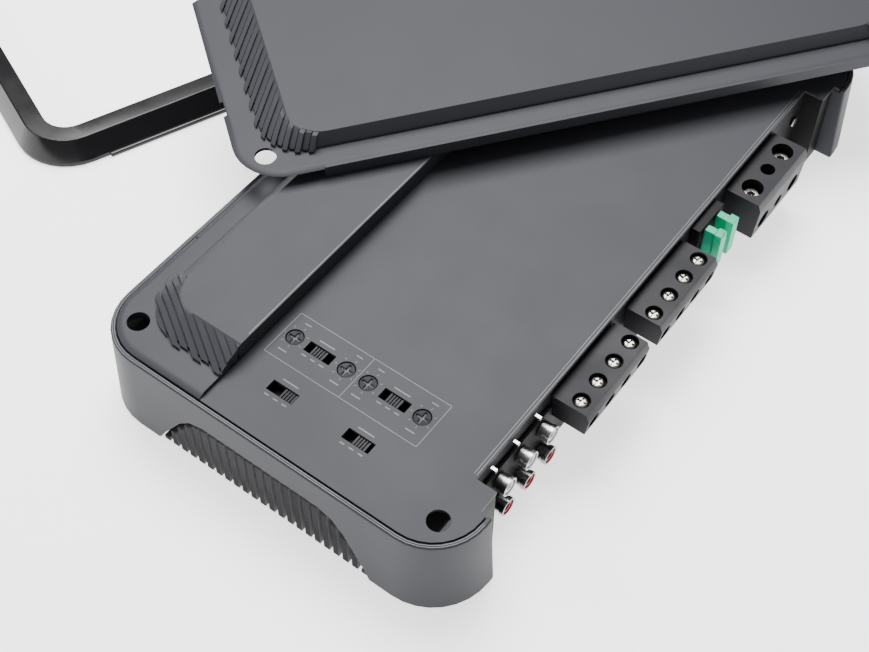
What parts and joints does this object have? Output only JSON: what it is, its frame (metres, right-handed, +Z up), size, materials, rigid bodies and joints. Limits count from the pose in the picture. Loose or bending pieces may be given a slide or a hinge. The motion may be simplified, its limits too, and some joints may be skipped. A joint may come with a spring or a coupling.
{
  "type": "car amplifier",
  "caption": "Low finned amplifier chassis with controls, terminals, jacks and fuses on one side, a lifted-off cover lying askew on top and a loose trim ring.",
  "frame": {"origin": "centre of the amplifier body's footprint, on the surface it stands on", "axes": "+X along the chassis away from the control end, -Y out of the connector side, +Z up"},
  "size_m": [0.4057, 0.584, 0.0617],
  "materials": {
    "satin_paint": "satin dark grey powder coat",
    "terminal_plastic": "satin moulded plastic",
    "gloss_trim": "gloss",
    "black_plastic": "matte",
    "fin_metal": "black anodised",
    "screw_steel": "bright plated",
    "jack_chrome": "polished",
    "knob_plastic": "matte",
    "fuse_plastic": "translucent",
    "white_plastic": "gloss",
    "red_plastic": "gloss",
    "board": "solder mask",
    "ferrite": "wound core",
    "can": "sleeved"
  },
  "bodies": {
    "amplifier_body": {"chassis_shell": "satin_paint", "control_plate": "satin_paint", "fixed_deck": "satin_paint", "heat_sink": "fin_metal", "connector_panel": "black_plastic", "pot_housing_1": "black_plastic", "switch_housing_1": "black_plastic", "pot_housing_2": "black_plastic", "switch_housing_2": "black_plastic", "pot_housing_3": "black_plastic", "switch_housing_3": "black_plastic", "pot_housing_4": "black_plastic", "switch_housing_4": "black_plastic", "speaker_block_a": "terminal_plastic", "speaker_block_b": "terminal_plastic", "power_block": "terminal_plastic", "fuse_holder": "black_plastic", "rca_block": "black_plastic", "rca_ferrule_white_1": "jack_chrome", "rca_insert_white_1": "white_plastic", "rca_ferrule_red_1": "jack_chrome", "rca_insert_red_1": "red_plastic", "rca_ferrule_white_2": "jack_chrome", "rca_insert_white_2": "white_plastic", "rca_ferrule_red_2": "jack_chrome", "rca_insert_red_2": "red_plastic", "rca_ferrule_white_3": "jack_chrome", "rca_insert_white_3": "white_plastic", "rca_ferrule_red_3": "jack_chrome", "rca_insert_red_3": "red_plastic", "panel_screw": "screw_steel", "circuit_board": "board", "power_transformer": "ferrite", "capacitor_1": "can", "capacitor_2": "can"},
    "pot_1": {"pot_shaft_1": "black_plastic"},
    "pot_2": {"pot_shaft_2": "black_plastic"},
    "pot_3": {"pot_shaft_3": "black_plastic"},
    "pot_4": {"pot_shaft_4": "black_plastic"},
    "switch_1": {"switch_knob_1": "knob_plastic"},
    "switch_2": {"switch_knob_2": "knob_plastic"},
    "switch_3": {"switch_knob_3": "knob_plastic"},
    "switch_4": {"switch_knob_4": "knob_plastic"},
    "speaker_screw_body_1": {"speaker_screw_1": "screw_steel"},
    "speaker_screw_body_2": {"speaker_screw_2": "screw_steel"},
    "speaker_screw_body_3": {"speaker_screw_3": "screw_steel"},
    "speaker_screw_body_4": {"speaker_screw_4": "screw_steel"},
    "speaker_screw_body_5": {"speaker_screw_5": "screw_steel"},
    "speaker_screw_body_6": {"speaker_screw_6": "screw_steel"},
    "speaker_screw_body_7": {"speaker_screw_7": "screw_steel"},
    "speaker_screw_body_8": {"speaker_screw_8": "screw_steel"},
    "power_screw_body_1": {"power_screw_1": "screw_steel"},
    "power_screw_body_2": {"power_screw_2": "screw_steel"},
    "power_screw_body_3": {"power_screw_3": "screw_steel"},
    "fuse_body_1": {"fuse_1": "fuse_plastic"},
    "fuse_body_2": {"fuse_2": "fuse_plastic"},
    "cover": {"cover_panel": "satin_paint"},
    "ring": {"trim_ring": "gloss_trim"}
  },
  "joints": [
    {"name": "pot_1_turn", "type": "hinge", "parent": "amplifier_body", "child": "pot_1", "pos_m": [-0.1139, 0.02, 0.041], "axis": [0, 0, 1], "range_deg": [-140, 140]},
    {"name": "pot_2_turn", "type": "hinge", "parent": "amplifier_body", "child": "pot_2", "pos_m": [-0.1139, -0.0052, 0.041], "axis": [0, 0, 1], "range_deg": [-140, 140]},
    {"name": "pot_3_turn", "type": "hinge", "parent": "amplifier_body", "child": "pot_3", "pos_m": [-0.1139, -0.0156, 0.041], "axis": [0, 0, 1], "range_deg": [-140, 140]},
    {"name": "pot_4_turn", "type": "hinge", "parent": "amplifier_body", "child": "pot_4", "pos_m": [-0.1139, -0.041, 0.041], "axis": [0, 0, 1], "range_deg": [-140, 140]},
    {"name": "switch_1_slide", "type": "slide", "parent": "amplifier_body", "child": "switch_1", "axis": [0, 1, 0], "range_m": [-0.0002, 0.006]},
    {"name": "switch_2_slide", "type": "slide", "parent": "amplifier_body", "child": "switch_2", "axis": [0, 1, 0], "range_m": [-0.0035, 0.0027]},
    {"name": "switch_3_slide", "type": "slide", "parent": "amplifier_body", "child": "switch_3", "axis": [0, 1, 0], "range_m": [-0.0033, 0.0029]},
    {"name": "switch_4_slide", "type": "slide", "parent": "amplifier_body", "child": "switch_4", "axis": [0, 1, 0], "range_m": [-0.0017, 0.0045]},
    {"name": "speaker_screw_1_turn", "type": "hinge", "parent": "amplifier_body", "child": "speaker_screw_body_1", "pos_m": [-0.0695, -0.0825, 0.0363], "axis": [0, 0, 1], "continuous": true},
    {"name": "speaker_screw_2_turn", "type": "hinge", "parent": "amplifier_body", "child": "speaker_screw_body_2", "pos_m": [-0.05813, -0.0825, 0.0363], "axis": [0, 0, 1], "continuous": true},
    {"name": "speaker_screw_3_turn", "type": "hinge", "parent": "amplifier_body", "child": "speaker_screw_body_3", "pos_m": [-0.04676, -0.0825, 0.0363], "axis": [0, 0, 1], "continuous": true},
    {"name": "speaker_screw_4_turn", "type": "hinge", "parent": "amplifier_body", "child": "speaker_screw_body_4", "pos_m": [-0.03539, -0.0825, 0.0363], "axis": [0, 0, 1], "continuous": true},
    {"name": "speaker_screw_5_turn", "type": "hinge", "parent": "amplifier_body", "child": "speaker_screw_body_5", "pos_m": [-0.0177, -0.0825, 0.0363], "axis": [0, 0, 1], "continuous": true},
    {"name": "speaker_screw_6_turn", "type": "hinge", "parent": "amplifier_body", "child": "speaker_screw_body_6", "pos_m": [-0.00633, -0.0825, 0.0363], "axis": [0, 0, 1], "continuous": true},
    {"name": "speaker_screw_7_turn", "type": "hinge", "parent": "amplifier_body", "child": "speaker_screw_body_7", "pos_m": [0.00504, -0.0825, 0.0363], "axis": [0, 0, 1], "continuous": true},
    {"name": "speaker_screw_8_turn", "type": "hinge", "parent": "amplifier_body", "child": "speaker_screw_body_8", "pos_m": [0.01641, -0.0825, 0.0363], "axis": [0, 0, 1], "continuous": true},
    {"name": "power_screw_1_turn", "type": "hinge", "parent": "amplifier_body", "child": "power_screw_body_1", "pos_m": [0.0636, -0.0807, 0.029], "axis": [0, 0, 1], "continuous": true},
    {"name": "power_screw_2_turn", "type": "hinge", "parent": "amplifier_body", "child": "power_screw_body_2", "pos_m": [0.0765, -0.0807, 0.029], "axis": [0, 0, 1], "continuous": true},
    {"name": "power_screw_3_turn", "type": "hinge", "parent": "amplifier_body", "child": "power_screw_body_3", "pos_m": [0.0894, -0.0807, 0.029], "axis": [0, 0, 1], "continuous": true},
    {"name": "fuse_1_pull", "type": "slide", "parent": "amplifier_body", "child": "fuse_body_1", "axis": [0, -1, 0], "range_m": [0, 0.016]},
    {"name": "fuse_2_pull", "type": "slide", "parent": "amplifier_body", "child": "fuse_body_2", "axis": [0, -1, 0], "range_m": [0, 0.016]},
    {"name": "cover_lift", "type": "slide", "parent": "amplifier_body", "child": "cover", "axis": [0, 0, 1], "range_m": [0, 0.1]},
    {"name": "trim_ring_draw", "type": "slide", "parent": "amplifier_body", "child": "ring", "axis": [0.3907, 0.9205, 0], "range_m": [0, 0.12]}
  ]
}
